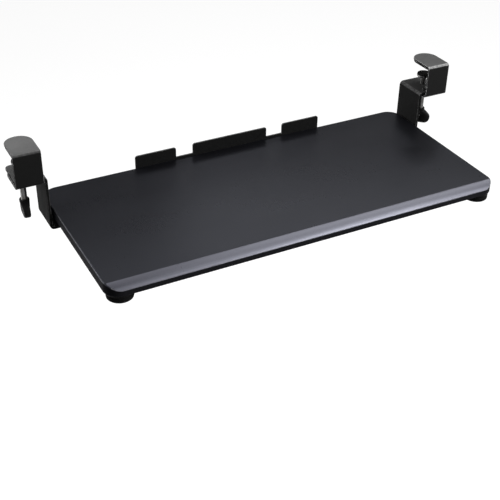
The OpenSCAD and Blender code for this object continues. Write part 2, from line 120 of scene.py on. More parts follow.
def make_pebble():
    """Fine pebbled surface: a height for the bump and a fleck for colour and gloss."""
    tree, given, out = new_effect("Pebble", {"Grain": 1500.0}, ["Height", "Fleck"])
    bead_height, fuzz_grain = 0.6, 0.6
    where = put(tree, "TexCoord").outputs["Object"]
    bead = put(tree, "TexVoronoi", {"Vector": where, "Scale": given["Grain"], "Randomness": 1.0})
    beads = reckon(tree, "MULTIPLY", bead.outputs["Distance"], bead_height)
    fuzz = noise(tree, reckon(tree, "MULTIPLY", given["Grain"], fuzz_grain), detail=4.0)
    tree.links.new(reckon(tree, "ADD", beads, fuzz), out["Height"])
    tree.links.new(spread(tree, fuzz, low=0.35, high=0.7), out["Fleck"])
    return tree


def make_smears():
    """Wide soft marks left by handling."""
    tree, given, out = new_effect("Smears", {"Size": 9.0}, ["Mask"])
    fine_size, fine_share = 14.0, 0.35
    broad = noise(tree, given["Size"], detail=6.0, stretch=(1.0, 2.2, 1.0))
    finer = reckon(tree, "MULTIPLY", given["Size"], fine_size)
    fine = noise(tree, finer, detail=2.0, stretch=(3.0, 0.6, 1.0))
    marks = reckon(tree, "ADD", broad, reckon(tree, "MULTIPLY", fine, fine_share))
    tree.links.new(spread(tree, marks, low=0.5, high=0.9), out["Mask"])
    return tree


def make_dust_and_top_sheen():
    """Dusty film on faces that look up, a little thicker in places. It is partly real and partly a painted
    sheen that lightens the tops as light from above would.
    """
    tree, given, out = new_effect("Settled dust", {"Specks": 420.0}, ["Mask"])
    normal = put(tree, "NewGeometry").outputs["Normal"]
    up = put(tree, "SeparateXYZ", {0: normal}).outputs["Z"]
    cloud = spread(tree, noise(tree, scale=16.0, detail=4.0), low=0.3, high=0.7, start=0.6, end=0.9)
    speck = spread(tree, noise(tree, given["Specks"], detail=2.0), low=0.5, high=0.8, start=0.9, end=1.1)
    upward_film = reckon(tree, "MULTIPLY", spread(tree, up, low=0.4, high=1.0), cloud)
    tree.links.new(reckon(tree, "MULTIPLY", upward_film, speck), out["Mask"])
    return tree


def make_drawn_lines():
    """Fine lines round a turned or drawn piece."""
    tree, given, out = new_effect("Drawn lines", {"Lines": 900.0}, ["Height", "Mask"])
    lines = noise(tree, given["Lines"], detail=3.0, stretch=(0.12, 0.12, 1.0))
    tree.links.new(lines, out["Height"])
    tree.links.new(spread(tree, lines, low=0.3, high=0.7), out["Mask"])
    return tree


RIM_WEAR_AND_HIGHLIGHT = make_rim_wear_and_highlight()
PEBBLE = make_pebble()
SMEARS = make_smears()
DUST_AND_TOP_SHEEN = make_dust_and_top_sheen()
DRAWN_LINES = make_drawn_lines()


def effect(tree, group, **values):
    """Places a shader group in a material with its own values."""
    made = tree.nodes.new("ShaderNodeGroup")
    made.node_tree = group
    for name, value in values.items():
        made.inputs[name].default_value = value
    return made.outputs


def new_finish(name, **plain):
    """Material with its plain values set on the shader's own sockets."""
    made = bpy.data.materials.new(name)
    made.use_nodes = True
    shader = made.node_tree.nodes["Principled BSDF"]
    for label, value in plain.items():
        shader.inputs[label.replace("_", " ")].default_value = value
    return made, made.node_tree, shader


def wire(tree, shader, colour, roughness, height, bump_strength, bump_depth):
    """Feeds the shader with a colour, a roughness and a bump."""
    tree.links.new(colour, shader.inputs["Base Color"])
    tree.links.new(roughness, shader.inputs["Roughness"])
    bump = put(tree, "Bump", {"Strength": bump_strength, "Distance": bump_depth, "Height": height})
    tree.links.new(bump.outputs["Normal"], shader.inputs["Normal"])


def grey(level, blue=1.0):
    """Grey of a linear level, with its blue a little stronger or weaker."""
    return (level, level, level * blue, 1.0)


def black_finish(name, dark, light, worn_and_highlight, gloss, grain, bump, cover=0.5, dust=0.01, smear=9.0, **plain):
    """Black surface with fleck, smears, rubbed edges and a dusty film on faces that look up. The rubbed edges
    also carry painted highlights, and the film also paints a sheen on the tops.

    Gloss gives the lowest and highest roughness, and bump the strength and depth of the bump."""
    dust_and_sheen_shade, fleck_gloss = grey(0.2), 0.4
    made, tree, shader = new_finish(name, **plain)
    pebble = effect(tree, PEBBLE, Grain=grain)
    smears = effect(tree, SMEARS, Size=smear)["Mask"]
    rim_wear_and_highlight = effect(tree, RIM_WEAR_AND_HIGHLIGHT, Cover=cover)["Mask"]
    # Film on faces that look up: partly real, partly a painted sheen on the tops.
    dust_and_sheen_share = reckon(tree, "MULTIPLY", effect(tree, DUST_AND_TOP_SHEEN)["Mask"], dust)
    colour = shade_between(tree, pebble["Fleck"], dark, light)
    # Rubbed edges are partly wear and partly a painted highlight, as on the clamps' folds and the bevel's
    # lower edge.
    colour = shade_between(tree, rim_wear_and_highlight, colour, worn_and_highlight)
    colour = shade_between(tree, dust_and_sheen_share, colour, dust_and_sheen_shade)
    mottle = reckon(tree, "ADD", smears, reckon(tree, "MULTIPLY", pebble["Fleck"], fleck_gloss))
    roughness = spread(tree, mottle, 0.0, 1.0 + fleck_gloss, *gloss)
    wire(tree, shader, colour, roughness, pebble["Height"], *bump)
    return made


# Its pale rims are partly wear and partly a painted edge highlight.
BOARD_FOIL = black_finish(
    "board foil", dark=grey(0.0015, 1.2), light=grey(0.0035, 1.25), worn_and_highlight=grey(0.05, 1.1),
    gloss=(0.27, 0.315), grain=1300.0, bump=(0.08, 0.1 * MM), cover=0.8, dust=0.004, smear=7.0,
    Specular_Tint=(0.72, 0.77, 1.0, 1.0))
EDGE_BAND = black_finish(
    "edge band", dark=grey(0.016, 1.15), light=grey(0.027, 1.15), worn_and_highlight=grey(0.04, 1.1), gloss=(0.36, 0.5),
    grain=1600.0, bump=(0.12, 0.1 * MM), dust=0.004, smear=30.0, Specular_IOR_Level=0.003)
BOARD_BACKING = black_finish(
    "board backing", dark=grey(0.010), light=grey(0.022, 0.95), worn_and_highlight=grey(0.05), gloss=(0.55, 0.7),
    grain=700.0, bump=(0.12, 0.1 * MM))
# Its dusty film on faces that look up is partly a painted sheen on the tops of the hangers, rails and rear
# stop.
POWDER_COAT = black_finish(
    "powder coat", dark=grey(0.010), light=grey(0.020), worn_and_highlight=grey(0.16), gloss=(0.5, 0.65),
    grain=1700.0, bump=(0.22, 0.1 * MM), cover=0.9, dust=0.2, smear=20.0, Specular_IOR_Level=0.01)
# Lighter copy of the powder coat for the clamps: its paler tone, thicker film on the tops and pale rubbed
# edges are painted light on the clamps.
CLAMP_COAT_PAINTED_LIT = black_finish(
    "clamp coat painted lit", dark=grey(0.015), light=grey(0.029), worn_and_highlight=grey(0.55), gloss=(0.5, 0.65),
    grain=1700.0, bump=(0.22, 0.1 * MM), cover=1.3, dust=0.37, smear=20.0, Specular_IOR_Level=0.01)
BLACK_OXIDE = black_finish(
    "black oxide", dark=grey(0.020), light=grey(0.040, 1.08), worn_and_highlight=grey(0.3), gloss=(0.32, 0.45),
    grain=2600.0, bump=(0.08, 0.05 * MM), cover=0.6, smear=60.0, Metallic=0.6)
MOULDED_BLACK = black_finish(
    "moulded black", dark=grey(0.010), light=grey(0.018), worn_and_highlight=grey(0.05), gloss=(0.36, 0.5),
    grain=2300.0, bump=(0.2, 0.1 * MM), cover=0.4, smear=50.0, Specular_IOR_Level=0.03)
SOFT_RUBBER = black_finish(
    "soft rubber", dark=grey(0.009), light=grey(0.018), worn_and_highlight=grey(0.05), gloss=(0.66, 0.82),
    grain=1900.0, bump=(0.25, 0.1 * MM), dust=0.02, smear=30.0, Specular_IOR_Level=0.02)


def make_bevel_foil():
    """Foil of the front bevel, with a painted highlight along the crease and a streaked painted highlight
    near its lower edge.
    """
    # Its lighter bluish tone is partly the bevel's own and partly a painted sheen; its pale rubbed lower edge
    # is a painted highlight line.
    made = black_finish(
        "bevel foil", dark=grey(0.030, 1.25), light=grey(0.041, 1.25), worn_and_highlight=grey(0.30, 1.1),
        gloss=(0.27, 0.31), grain=1300.0, bump=(0.05, 0.1 * MM), cover=1.2, dust=0.004, smear=12.0,
        Specular_Tint=(0.83, 0.85, 1.0, 1.0))
    # Painted highlights: a pale band along the crease, and a streaked lighter band near the lower edge.
    crease_highlight_shade, crease_highlight_from, crease_highlight_to = grey(0.07, 1.2), 3.5 * MM, 0.5 * MM
    lower_highlight_shade, lower_highlight_from, lower_highlight_to = grey(0.125, 1.2), 4.5 * MM, 8.0 * MM
    tree = made.node_tree
    base = tree.nodes["Principled BSDF"].inputs["Base Color"]
    height = put(tree, "SeparateXYZ", {0: put(tree, "TexCoord").outputs["Object"]}).outputs["Z"]
    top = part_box("tray_board")[1].z
    pale = spread(tree, height, top - crease_highlight_from, top - crease_highlight_to)
    lower = spread(tree, height, top - lower_highlight_from, top - lower_highlight_to)
    strokes = noise(tree, scale=260.0, detail=2.0, stretch=(0.03, 1.0, 1.0))
    streaks = spread(tree, strokes, low=0.35, high=0.65, start=0.35, end=1.0)
    lower_highlight = reckon(tree, "MULTIPLY", lower, streaks)
    colour = shade_between(tree, pale, base.links[0].from_socket, crease_highlight_shade)
    tree.links.new(shade_between(tree, lower_highlight, colour, lower_highlight_shade), base)
    return made


def make_zinc_plate():
    """Plated steel with fine turning lines, dulled by handling, both its tones darkened overall as painted
    shade.
    """
    # Both plating tones are darkened to paint shade on the screws, nuts, discs and axles.
    dull_in_painted_shade, bright_in_painted_shade = grey(0.20, 1.03), grey(0.36, 1.02)
    tarnished, rubbed = (0.24, 0.235, 0.22, 1.0), grey(0.6)
    made, tree, shader = new_finish("zinc plate", Metallic=1.0)
    lines = effect(tree, DRAWN_LINES)
    smears = effect(tree, SMEARS, Size=80.0)["Mask"]
    rim_wear_and_highlight = effect(tree, RIM_WEAR_AND_HIGHLIGHT, Patches=300.0)["Mask"]
    colour = shade_between(tree, lines["Mask"], dull_in_painted_shade, bright_in_painted_shade)
    colour = shade_between(tree, smears, colour, tarnished)
    colour = shade_between(tree, rim_wear_and_highlight, colour, rubbed)
    dulled = reckon(tree, "ADD", lines["Mask"], smears)
    roughness = spread(tree, dulled, low=0.0, high=2.0, start=0.22, end=0.46)
    wire(tree, shader, colour, roughness, lines["Height"], bump_strength=0.1, bump_depth=0.05 * MM)
    return made


def make_natural_nylon():
    """Undyed nylon, soiled by handling and darker along its rubbed edges."""
    warm, pale = (0.70, 0.68, 0.61, 1.0), (0.76, 0.74, 0.69, 1.0)
    soiled, rubbed = (0.58, 0.55, 0.48, 1.0), (0.45, 0.43, 0.39, 1.0)
    made, tree, shader = new_finish("natural nylon", Subsurface_Weight=0.15, Subsurface_Scale=1.5 * MM)
    pebble = effect(tree, PEBBLE, Grain=900.0)
    smears = effect(tree, SMEARS, Size=60.0)["Mask"]
    rim_wear_and_highlight = effect(tree, RIM_WEAR_AND_HIGHLIGHT, Patches=250.0)["Mask"]
    colour = shade_between(tree, pebble["Fleck"], warm, pale)
    colour = shade_between(tree, smears, colour, soiled)
    colour = shade_between(tree, rim_wear_and_highlight, colour, rubbed)
    roughness = spread(tree, smears, low=0.0, high=1.0, start=0.36, end=0.52)
    wire(tree, shader, colour, roughness, pebble["Height"], bump_strength=0.08, bump_depth=0.1 * MM)
    return made


BEVEL_FOIL = make_bevel_foil()
ZINC_PLATE = make_zinc_plate()
NATURAL_NYLON = make_natural_nylon()


# Mesh building blocks

# Corners closer together than this are one corner.
WELD = 0.002 * MM


def to_piece(node, work, *finishes, smooth=40.0):
    """Makes a finished mesh the piece that stands for a solid."""
    bmesh.ops.recalc_face_normals(work, faces=work.faces)
    mesh = bpy.data.meshes.new(node + "_finished")
    work.to_mesh(mesh)
    work.free()
    mesh.shade_smooth()
    mesh.set_sharp_from_angle(angle=math.radians(smooth))
    for finish in finishes:
        mesh.materials.append(finish)
    piece = bpy.data.objects.new(mesh.name, mesh)
    bpy.context.scene.collection.objects.link(piece)
    piece.modifiers.new("even shading", "WEIGHTED_NORMAL").keep_sharp = True
    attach(piece, BODY_OF[node])
    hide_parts(node)
    return piece


def eased_solid(node, ease):
    """Copy of a solid with eased edges and crisp holes. The eased strips carry the mark "rim"."""
    hole_round, flat_turn, corner_turn, steps = 40 * MM, 0.3, 30.0, 3
    work = bmesh.new()
    work.from_mesh(SOLIDS[node].data)
    for face in work.faces:
        face.material_index = 0
    bmesh.ops.remove_doubles(work, verts=work.verts, dist=WELD)
    bmesh.ops.dissolve_limit(work, angle_limit=math.radians(flat_turn), verts=work.verts, edges=work.edges)
    rim = work.faces.layers.float.new("rim")
    left = {e for e in work.edges if e.is_manifold and e.calc_face_angle() > math.radians(corner_turn)}
    outer = set()
    for seed in work.edges:
        chain, reach = set(), {seed} & left
        while reach:
            chain |= reach
            left -= reach
            reach = {e for edge in reach for v in edge.verts for e in v.link_edges} & left
        if sum(e.calc_length() for e in chain) > hole_round:
            outer |= chain
    strips = bmesh.ops.bevel(
        work, geom=[e for e in work.edges if e in outer], offset=ease, offset_type="OFFSET", segments=steps,
        profile=0.5, affect="EDGES", clamp_overlap=True, loop_slide=True)
    for face in strips["faces"]:
        face[rim] = 1.0
    return work


def solid_boxes(node):
    """Lowest and highest corner of each loose solid in a node, in order of x and then y."""
    decimals = 5
    work = bmesh.new()
    work.from_mesh(SOLIDS[node].data)
    bmesh.ops.remove_doubles(work, verts=work.verts, dist=WELD)
    left, boxes = set(work.verts), []
    while left:
        reach, shell = [left.pop()], []
        while reach:
            vert = reach.pop()
            shell.append(vert.co.copy())
            for edge in vert.link_edges:
                other = edge.other_vert(vert)
                if other in left:
                    left.remove(other)
                    reach.append(other)
        low = Vector([min(p[k] for p in shell) for k in range(3)])
        high = Vector([max(p[k] for p in shell) for k in range(3)])
        boxes.append((low, high))
    work.free()
    return sorted(boxes, key=lambda b: (round(b[0].x, decimals), round(b[0].y, decimals)))


def carve(piece, cutter):
    """Takes the cutter's shape out of a piece for good, and welds the slivers that the cut leaves."""
    sliver, sharp_turn = 0.005 * MM, 45.0
    bmesh.ops.recalc_face_normals(cutter, faces=cutter.faces)
    mesh = bpy.data.meshes.new("cutter")
    cutter.to_mesh(mesh)
    cutter.free()
    tool = bpy.data.objects.new("cutter", mesh)
    bpy.context.scene.collection.objects.link(tool)
    cut = piece.modifiers.new("cut", "BOOLEAN")
    cut.operation, cut.solver, cut.object = "DIFFERENCE", "EXACT", tool
    while piece.modifiers[0] != cut:
        piece.modifiers.move(len(piece.modifiers) - 1, 0)
    bpy.context.view_layer.update()
    finished = bpy.data.meshes.new_from_object(piece.evaluated_get(bpy.context.evaluated_depsgraph_get()))
    piece.modifiers.remove(cut)
    work = bmesh.new()
    work.from_mesh(finished)
    bmesh.ops.remove_doubles(work, verts=work.verts, dist=sliver)
    bmesh.ops.dissolve_degenerate(work, dist=sliver, edges=work.edges)
    work.to_mesh(finished)
    work.free()
    piece.data = finished
    finished.set_sharp_from_angle(angle=math.radians(sharp_turn))
    bpy.data.objects.remove(tool)


def spin(work, rings, place=Matrix(), steps=48, bored=False):
    """Skins a stack of rings. Each ring has a radius and a height, as numbers or as rules of the angle."""
    def at(rule, angle):
        return rule(angle) if callable(rule) else rule

    def point(radius, height, angle):
        reach = at(radius, angle)
        spot = Vector((reach * math.cos(angle), reach * math.sin(angle), at(height, angle)))
        return work.verts.new(place @ spot)

    loops = []
    for radius, height in rings:
        angles = [0.0] if radius == 0 else [2 * math.pi * i / steps for i in range(steps)]
        loops.append([point(radius, height, angle) for angle in angles])
    pairs = list(zip(loops, loops[1:])) + ([(loops[-1], loops[0])] if bored else [])
    for low, high in pairs:
        for i in range(steps):
            j = (i + 1) % steps
            if len(low) == 1:
                work.faces.new((low[0], high[j], high[i]))
            elif len(high) == 1:
                work.faces.new((low[i], low[j], high[0]))
            else:
                work.faces.new((low[i], low[j], high[j], high[i]))


def rounded(radius, height, ease, turn_in=1):
    """Three rings that round an outer edge from the side over to the face at that height."""
    step = ease * (1 - math.sqrt(0.5))
    side, middle = height - turn_in * ease, height - turn_in * step
    return [(radius, side), (radius - step, middle), (radius - ease, height)]


def grooves(middles, half_mouth, half_floor, face, depth):
    """Rings of round grooves in a flat face, given from the outer one in."""
    rings = []
    for middle in middles:
        rings += [(middle + half_mouth, face), (middle + half_floor, face + depth),
                  (middle - half_floor, face + depth), (middle - half_mouth, face)]
    return rings


def hexagon(across):
    """Outline of a hexagon, as a radius that depends on the angle."""
    return lambda angle: across / 2 / math.cos(angle % (math.pi / 3) - math.pi / 6)


def cross_slot(arm, half_width):
    """Outline of a cross-shaped driver recess."""
    least = 1e-9

    def radius(angle):
        c, s = abs(math.cos(angle)) + least, abs(math.sin(angle)) + least
        return max(min(arm / c, half_width / s), min(arm / s, half_width / c))
    return radius


def thread(work, place, crest, root, pitch, low, high, steps=24):
    """Right-hand screw thread with a run-out at each end. Its form is in shares of pitch and depth."""
    form = ((0.12, 0.0), (0.44, 1.0), (0.56, 1.0), (0.88, 0.0))
    top = len(form) - 1
    count = int(((high - low) / pitch - 1) * steps)

    def point(i, radius, height):
        angle = 2 * math.pi * (i % steps) / steps
        return work.verts.new(place @ Vector((radius * math.cos(angle), radius * math.sin(angle), height)))

    flight = []
    for i in range(count + 1):
        rise = min(1.0, i / steps, (count - i) / steps)
        flight.append([
            point(i, root + (crest - root) * rise * h, low + pitch * (i / steps + f)) for f, h in form])
    foot = [point(i, root, low) for i in range(steps)]
    head = [point(i, root, high) for i in range(steps)]
    for i in range(count):
        for j in range(top):
            work.faces.new((flight[i][j], flight[i + 1][j], flight[i + 1][j + 1], flight[i][j + 1]))
        if i + steps < count:
            work.faces.new((
                flight[i][top], flight[i + 1][top], flight[i + 1 + steps][0], flight[i + steps][0]))
    for i in range(steps - 1):
        work.faces.new((foot[i], foot[i + 1], flight[i + 1][0], flight[i][0]))
    work.faces.new((foot[-1], foot[0], *flight[0], flight[steps][0], flight[steps - 1][0]))
    last = count - steps
    run_out = (head[(last + 1) % steps], head[last % steps], *flight[count][::-1])
    work.faces.new((flight[last][top], flight[last + 1][top], *run_out))
    for i in range(last + 1, count):
        work.faces.new((flight[i][top], flight[i + 1][top], head[(i + 1) % steps], head[i % steps]))
    work.faces.new(foot)
    work.faces.new(head)


def lift(x, y, z):
    """Move from the origin to a point."""
    return Matrix.Translation((x, y, z))


FACING_REAR = Matrix.Rotation(math.radians(90), 4, "X")
ALONG_X = Matrix.Rotation(math.radians(90), 4, "Y")


# Tray and steelwork

def bevel_surface(low, high, run, drop):
    """Height of the board's upper face by y: flat behind the crease, and a shallow arc before it."""
    bulge, chord = 1 * MM, math.hypot(run, drop)
    bow = (chord ** 2 / 4 + bulge ** 2) / (2 * bulge)
    bow_y = low.y + run / 2 + (bow - bulge) * drop / chord
    bow_z = high.z - drop / 2 - (bow - bulge) * run / chord

    def height(y):
        return high.z if y >= low.y + run else bow_z + math.sqrt(bow ** 2 - (y - bow_y) ** 2)
    return height


def board_outline(front_mid, rear_mid, crease_share):
    """Turns round the corners from front to rear, each with its middle, its way and its share of ease."""
    front_crispness, bevel_steps, side_steps, rear_steps = 0.7, 14, 5, 16
    quarter, crease_turn = math.pi / 2, math.asin(crease_share)
    front_turns = [quarter - (quarter - crease_turn) * i / bevel_steps for i in range(bevel_steps)]
    front_turns += [crease_turn * (1 - i / side_steps) for i in range(side_steps + 1)]
    rear_turns = [quarter * i / rear_steps for i in range(rear_steps + 1)]

    def front_ease(turn):
        return 1 - front_crispness * max(0.0, math.sin(turn) - crease_share) / (1 - crease_share)

    front = [(turn, front_mid, -1, front_ease(turn)) for turn in front_turns]
    rear = [(turn, rear_mid, 1, 1.0) for turn in rear_turns]
    return front + rear


def lay_board():
    """Foil-wrapped board with eased edges, and a convex bevel from its crisp front edge up to a crease."""
    run, drop, corner_r, ease, under_ease = 16 * MM, 9 * MM, 24 * MM, 1.4 * MM, 0.6 * MM
    under_round, round_steps = ((1, 0), (0.3, 0.3), (0, 1)), 3
    foil, backing, band, bevel = range(4)
    low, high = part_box("tray_board")
    crease, front_mid, rear_mid = low.y + run, low.y + corner_r, high.y - corner_r
    corner_front = front_mid - corner_r * math.sqrt(0.5)
    surface = bevel_surface(low, high, run, drop)
    stations = board_outline(front_mid, rear_mid, (front_mid - crease) / (corner_r - ease))
    work = bmesh.new()
    rim = work.faces.layers.float.new("rim")

    def ring(inset, height):
        """Right and left half of a loop round the board. The height depends on y and on the share of ease."""
        right, left = [], []
        for turn, mid, way, share in stations:
            r = corner_r - inset * share
            x, y = corner_r - r * math.cos(turn), mid + way * r * math.sin(turn)
            right.append((high.x - x, y, height(y, share)))
            left.append((low.x + x, y, height(y, share)))
        return [[work.verts.new(p) for p in side] for side in (right, left)]

    rings = [ring(under_ease * inset, lambda y, share, rise=rise: low.z + under_ease * share * rise)
             for inset, rise in under_round]
    round_turns = [math.pi / 2 * i / round_steps for i in range(round_steps + 1)]
    upper_round = [(1 - math.cos(turn), 1 - math.sin(turn)) for turn in round_turns]
    rings += [ring(ease * inset, lambda y, share, fall=fall: surface(y) - ease * share * fall)
              for inset, fall in upper_round]
    finishes = (backing, backing, band, *[foil] * round_steps)
    for finish, lower, upper in zip(finishes, rings, rings[1:]):
        loops = [right + left[::-1] for right, left in (lower, upper)]
        for i in range(len(loops[0])):
            face = work.faces.new((loops[0][i - 1], loops[0][i], loops[1][i], loops[1][i - 1]))
            on_bevel = finish == foil and face.calc_center_median().y < corner_front
            face.material_index = bevel if on_bevel else finish
            face[rim] = float(finish == foil)
    for finish, (right, left) in ((backing, rings[0]), (foil, rings[-1])):
        for i in range(len(right) - 1):
            face = work.faces.new((left[i], right[i], right[i + 1], left[i + 1]))
            on_bevel = finish == foil and face.calc_center_median().y < crease
            face.material_index = bevel if on_bevel else finish
    board = to_piece("tray_board", work, BOARD_FOIL, BOARD_BACKING, EDGE_BAND, BEVEL_FOIL)
    drill_board(board)
    sharpen_crease(board, crease, high.z)


def drill_board(board):
    """Blind holes for the screws of the rails, the feet and the rear stop."""
    hole, over, steps = 2.05 * MM, 1 * MM, 24
    low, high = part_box("tray_board")
    drill = bmesh.new()
    for node in ("rail_screws", "foot_screws", "stop_screws"):
        for near, far in solid_boxes(node):
            middle = (near + far) / 2
            place, depth = lift(middle.x, middle.y, low.z - over), far.z - low.z + over
            if node == "stop_screws":
                place, depth = lift(middle.x, high.y + over, middle.z) @ FACING_REAR, high.y + over - near.y
            spin(drill, [(0, 0), (hole, 0), (hole, depth), (0, depth)], place, steps)
    carve(board, drill)


def sharpen_crease(board, y, z):
    """Keeps the line sharp where the bevel meets the flat top."""
    near_enough = 0.1 * MM
    for edge in board.data.edges:
        ends = [board.data.vertices[v].co for v in edge.vertices]
        if all(abs(p.y - y) < near_enough and abs(p.z - z) < near_enough for p in ends):
            edge.use_edge_sharp = True


def fold_steelwork():
    """Bent and coated sheet steel, rubbed along its edges and, by the share given, along its bends, where the
    share stands for wear and a painted highlight.
    """
    upright, level = 0.4, 0.97
    # Bend shares paint a highlight as well as wear: the right clamp's fold gets a strong painted highlight
    # line, the left clamp's a faint one.
    for node, ease, bend_wear_and_highlight in (
            ("rear_stop", 0.5, 1.0), ("left_clamp", 0.5, 0.15), ("right_clamp", 0.5, 0.7),
            ("left_hanger", 0.6, 0.6), ("right_hanger", 0.6, 0.6),
            ("left_rail", 0.25, 1.0), ("right_rail", 0.25, 1.0)):
        work = eased_solid(node, ease * MM)
        rim = work.faces.layers.float["rim"]
        for face in work.faces:
            face.normal_update()
            if upright < abs(face.normal.z) < level:
                face[rim] = bend_wear_and_highlight
        to_piece(node, work, CLAMP_COAT_PAINTED_LIT if "clamp" in node else POWDER_COAT)


def mould_small_blocks():
    """End stops of the rails, and the carriages that hold the rollers."""
    stop_ease, carriage_ease = 0.4 * MM, 0.5 * MM
    to_piece("rail_end_stops", eased_solid("rail_end_stops", stop_ease), MOULDED_BLACK)
    for side in SIDES:
        to_piece(f"{side}_carriage", eased_solid(f"{side}_carriage", carriage_ease), NATURAL_NYLON)


# Height of the head of a screw in the board
FLAT_HEAD = 1.2 * MM


def drive_wood_screw(work, place, length):
    """Flat-headed screw with a cross recess, placed at the seat of its head."""
    head, shank, point, tip, recess_floor = 3.5 * MM, 2.0 * MM, 4 * MM, 0.4 * MM, -0.4 * MM
    floor_slot, mouth_slot = cross_slot(1.3 * MM, 0.35 * MM), cross_slot(1.9 * MM, 0.5 * MM)
    dome = [(head - 0.8 * MM, -FLAT_HEAD), (head - 0.25 * MM, -1.05 * MM), (head, -0.7 * MM), (head, 0)]
    spin(work, [
        (0, recess_floor), (floor_slot, recess_floor - 0.05 * MM), (mouth_slot, -FLAT_HEAD), *dome,
        (shank, 0), (shank, length - point), (tip, length), (0, length)], place)


def drive_tray_screws():
    """Screws of the rails and the feet from below, and of the rear stop from behind."""
    for node in ("rail_screws", "foot_screws"):
        work = bmesh.new()
        for low, high in solid_boxes(node):
            centre, seat = (low + high) / 2, low.z + FLAT_HEAD
            drive_wood_screw(work, lift(centre.x, centre.y, seat), high.z - seat)
        to_piece(node, work, ZINC_PLATE)
    work = bmesh.new()
    for low, high in solid_boxes("stop_screws"):
        centre, seat = (low + high) / 2, high.y - FLAT_HEAD
        drive_wood_screw(work, lift(centre.x, seat, centre.z) @ FACING_REAR, seat - low.y)
    to_piece("stop_screws", work, BLACK_OXIDE)


def turn_feet():
    """Two-tier feet: a plastic disc with a shadow groove and a rubber ring with treads."""
    groove, groove_height, bore, steps = 1.5 * MM, 1.2 * MM, 2.1 * MM, 64
    recess, recess_ease, pad_ease = 5 * MM, 0.4 * MM, 0.3 * MM
    tread_middles = (14.6 * MM, 11.6 * MM, 8.6 * MM)
    for side in SIDES:
        low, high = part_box(f"{side}_foot_base")
        centre, radius = (low + high) / 2, (high.x - low.x) / 2
        place, waist = lift(centre.x, centre.y, 0), low.z + groove_height
        work = bmesh.new()
        spin(work, [
            (bore, low.z), (radius - groove, low.z), (radius - groove, waist),
            *reversed(rounded(radius, waist, 0.6 * MM, turn_in=-1)), *rounded(radius, high.z, 0.5 * MM),
            (bore, high.z)], place, steps, bored=True)
        to_piece(f"{side}_foot_base", work, MOULDED_BLACK)
        low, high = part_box(f"{side}_foot_pad")
        treads = grooves(tread_middles, 0.8 * MM, 0.5 * MM, low.z, 0.5 * MM)
        rolled = [
            (radius, low.z + 2.2 * MM), (radius - 0.35 * MM, low.z + 0.9 * MM),
            (radius - 1.1 * MM, low.z + 0.2 * MM), (radius - 1.9 * MM, low.z)]
        work = bmesh.new()
        spin(work, [
            (recess, high.z), (radius - pad_ease, high.z), (radius, high.z - pad_ease), *rolled, *treads,
            (recess + recess_ease, low.z), (recess, low.z + recess_ease)], place, steps, bored=True)
        to_piece(f"{side}_foot_pad", work, SOFT_RUBBER)


# Clamps

def rib_jaw_pads():
    """Rubber under the top flange, ribbed across on its gripping side and round at its far end."""
    pitch, groove, end_radius, ease, stations = 3.2 * MM, 0.5 * MM, 20.5 * MM, 0.3 * MM, 96
    rib_end, ramp, groove_end = 0.6, 0.25, 0.9
    for side in SIDES:
        low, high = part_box(f"{side}_jaw_pad")
        middle, half = (low.x + high.x) / 2, (high.x - low.x) / 2
        work = bmesh.new()
        last = None
        for i in range(stations + 1):
            y = low.y + (high.y - low.y) * i / stations
            past = max(0.0, y - (high.y - end_radius))
            w = half - end_radius + math.sqrt(max(end_radius ** 2 - past ** 2, 0.0))
            wave = (y - low.y) % pitch / pitch
            depth = groove * min(1.0, (wave - rib_end) / ramp) if rib_end < wave < groove_end else 0.0
            floor_z = low.z + depth
            outline = (
                (-w, high.z), (w, high.z), (w, floor_z + ease), (w - ease, floor_z), (ease - w, floor_z),
                (-w, floor_z + ease))
            ring = [work.verts.new((middle + x, y, z)) for x, z in outline]
            if last:
                for a in range(len(ring)):
                    b = (a + 1) % len(ring)
                    work.faces.new((last[a], last[b], ring[b], ring[a]))
            else:
                work.faces.new(ring)
            last = ring
        work.faces.new(last)
        to_piece(f"{side}_jaw_pad", work, SOFT_RUBBER, smooth=25.0)


def cut_nut(work, place, across, height, bore):
    """Hexagon nut with the corners of both faces turned off."""
    kept, slope, lead_in = 0.97, math.tan(math.radians(30)), 0.4 * MM
    flat, rim = hexagon(across), across / 2 * kept
    spin(work, [
        (bore + lead_in, 0), (rim, 0), (flat, lambda a: (flat(a) - rim) * slope),
        (flat, lambda a: height - (flat(a) - rim) * slope), (rim, height), (bore + lead_in, height),
        (bore, height - lead_in), (bore, lead_in)], place, bored=True)


def fit_nuts():
    """Weld nuts for the clamp screws, and the nuts of the hanger bolts."""
    weld_across, weld_bore, bolt_across, bolt_bore = 17 * MM, 5.05 * MM, 8 * MM, 2.52 * MM
    flats_turn = 28.0
    for side in SIDES:
        low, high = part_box(f"{side}_screw_nut")
        centre = (low + high) / 2
        work = bmesh.new()
        cut_nut(work, lift(centre.x, centre.y, low.z), weld_across, high.z - low.z, weld_bore)
        to_piece(f"{side}_screw_nut", work, ZINC_PLATE, smooth=flats_turn)
    work = bmesh.new()
    for low, high in solid_boxes("hanger_nuts"):
        centre = (low + high) / 2
        cut_nut(work, lift(centre.x, centre.y, low.z), bolt_across, high.z - low.z, bolt_bore)
    to_piece("hanger_nuts", work, ZINC_PLATE, smooth=flats_turn)


